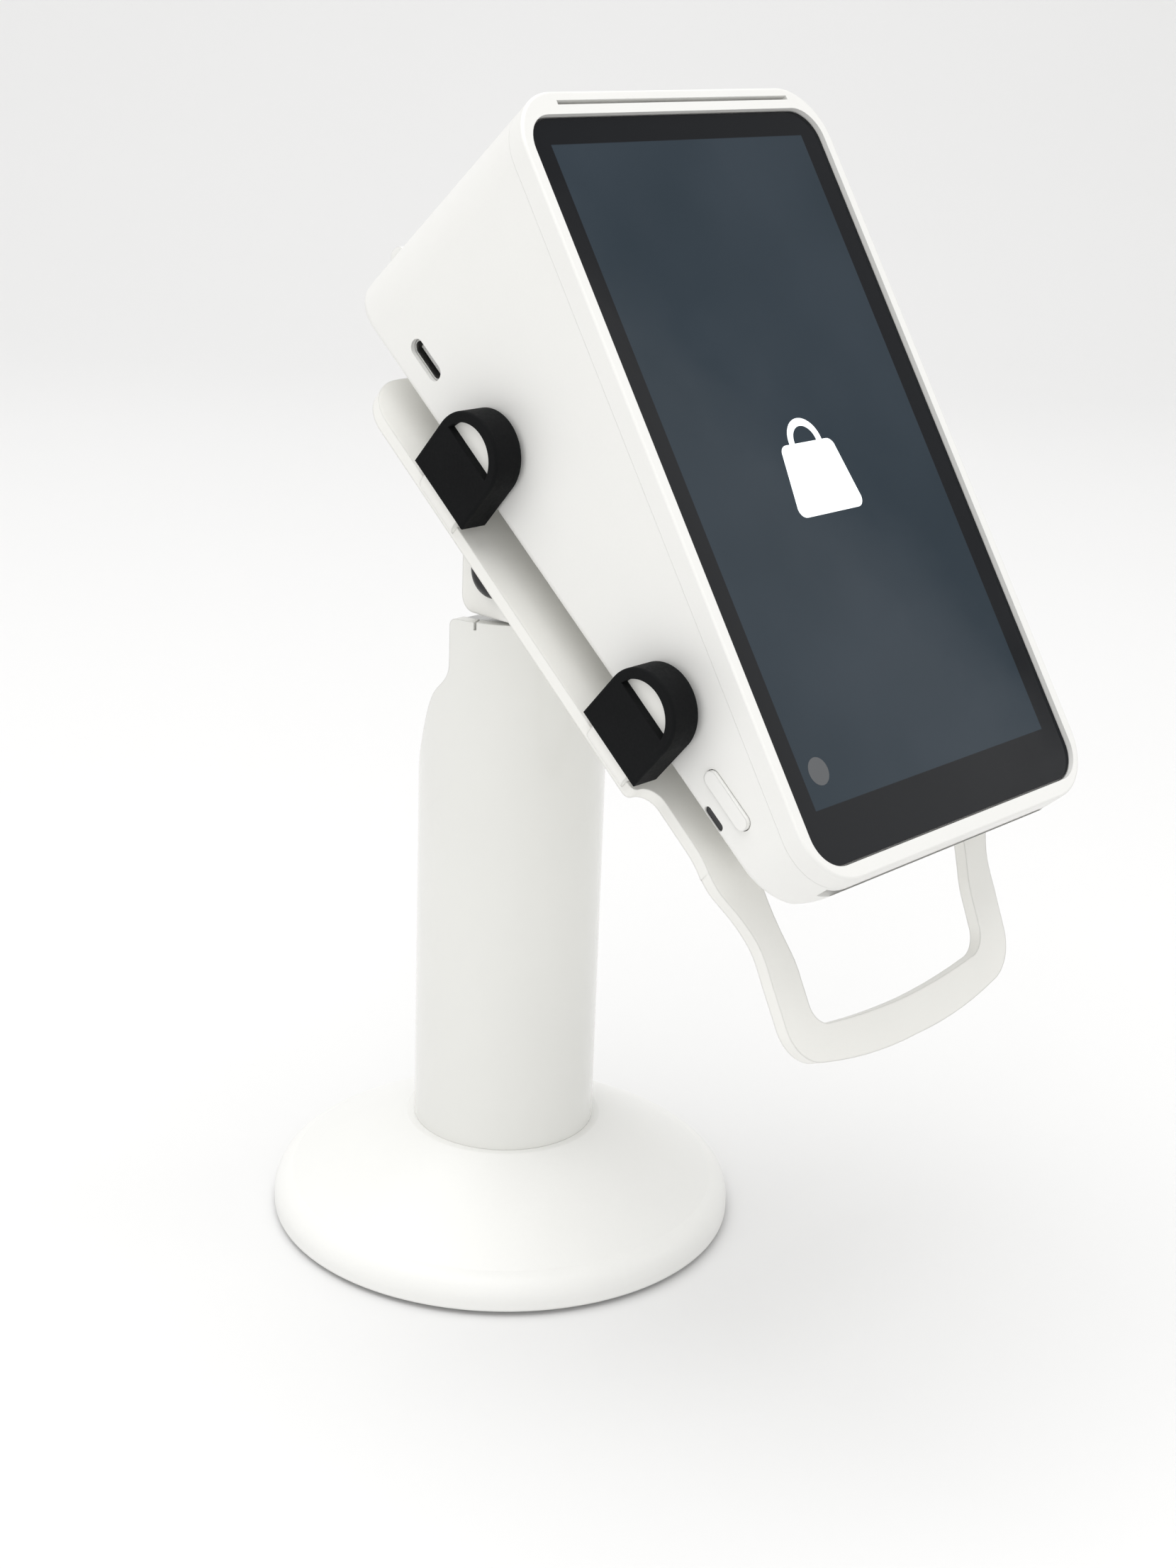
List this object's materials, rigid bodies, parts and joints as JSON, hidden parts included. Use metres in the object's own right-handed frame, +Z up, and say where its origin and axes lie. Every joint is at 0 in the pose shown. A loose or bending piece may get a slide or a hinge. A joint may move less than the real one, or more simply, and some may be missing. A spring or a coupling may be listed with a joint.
{
  "type": "pos touchscreen terminal",
  "caption": "Handheld payment terminal with touchscreen and receipt printer, clamped in a tilting bracket with grip handle on a round swivel counter stand.",
  "frame": {"origin": "centre of the round base's underside, on the counter", "axes": "+Z up, -Y towards the person reading the screen, +X to that reader's right"},
  "size_m": [0.1, 0.1624, 0.2389],
  "materials": {
    "base_paint": "satin",
    "tube_paint": "gloss",
    "bracket_paint": "satin",
    "casing": "satin",
    "key_plastic": "satin",
    "inner_plastic": "matte",
    "screen_glass": "polished",
    "display": "satin",
    "board": "matte",
    "rubber": "matte",
    "steel": "brushed",
    "black_steel": "satin",
    "cast_weight": "rough",
    "aluminium": "satin",
    "paper": "matte",
    "battery_wrap": "matte"
  },
  "bodies": {
    "stand": {"base_cover": "base_paint", "base_weight": "cast_weight", "base_pad": "rubber", "pole_foot_plug": "steel", "pole_foot_bolt": "steel", "pole_tube": "tube_paint", "pole_seat": "steel"},
    "swivel": {"swivel_head": "bracket_paint", "swivel_bolt": "steel", "swivel_washer": "inner_plastic", "swivel_spring_washers": "steel", "swivel_nut": "steel", "tilt_bolt": "black_steel", "tilt_nut": "black_steel", "tilt_washers": "inner_plastic"},
    "terminal": {"arm_screws": "steel", "back_cover": "casing", "battery_pack": "battery_wrap", "bracket_plate": "bracket_paint", "card_reader": "inner_plastic", "display_panel": "display", "door_pin": "steel", "front_frame": "casing", "grip_cap_lower_left": "rubber", "grip_cap_lower_right": "rubber", "grip_cap_upper_left": "rubber", "grip_cap_upper_right": "rubber", "head_bracket": "steel", "housing_screws": "steel", "inner_chassis": "aluminium", "key_switch": "inner_plastic", "main_board": "board", "paper_tray": "inner_plastic", "print_head": "inner_plastic", "rear_housing": "casing", "speaker": "inner_plastic", "tilt_arm": "bracket_paint", "touch_glass": "screen_glass", "usb_port": "steel"},
    "paper_door": {"paper_door": "casing"},
    "platen": {"platen_roller": "rubber"},
    "paper_roll": {"paper_roll": "paper"},
    "side_key": {"side_key": "key_plastic"}
  },
  "joints": [
    {"name": "swivel", "type": "hinge", "parent": "stand", "child": "swivel", "pos_m": [0, -0.0095, 0.1368], "axis": [0, 0, 1], "range_deg": [-165, 165]},
    {"name": "tilt", "type": "hinge", "parent": "swivel", "child": "terminal", "pos_m": [0, -0.0095, 0.1473], "axis": [1, 0, 0], "range_deg": [-35, 30]},
    {"name": "paper_door_hinge", "type": "hinge", "parent": "terminal", "child": "paper_door", "pos_m": [0, -0.004, 0.20788], "axis": [-1, 0, 0], "range_deg": [0, 95]},
    {"name": "platen_spin", "type": "hinge", "parent": "paper_door", "child": "platen", "pos_m": [0, -0.03272, 0.22237], "axis": [1, 0, 0], "continuous": true},
    {"name": "roll_spin", "type": "hinge", "parent": "terminal", "child": "paper_roll", "pos_m": [0, -0.02745, 0.19942], "axis": [1, 0, 0], "continuous": true},
    {"name": "side_key_press", "type": "slide", "parent": "terminal", "child": "side_key", "axis": [1, 0, 0], "range_m": [0, 0.0008], "stiffness_N_per_m": 1500, "springref_m": -0.0003}
  ]
}
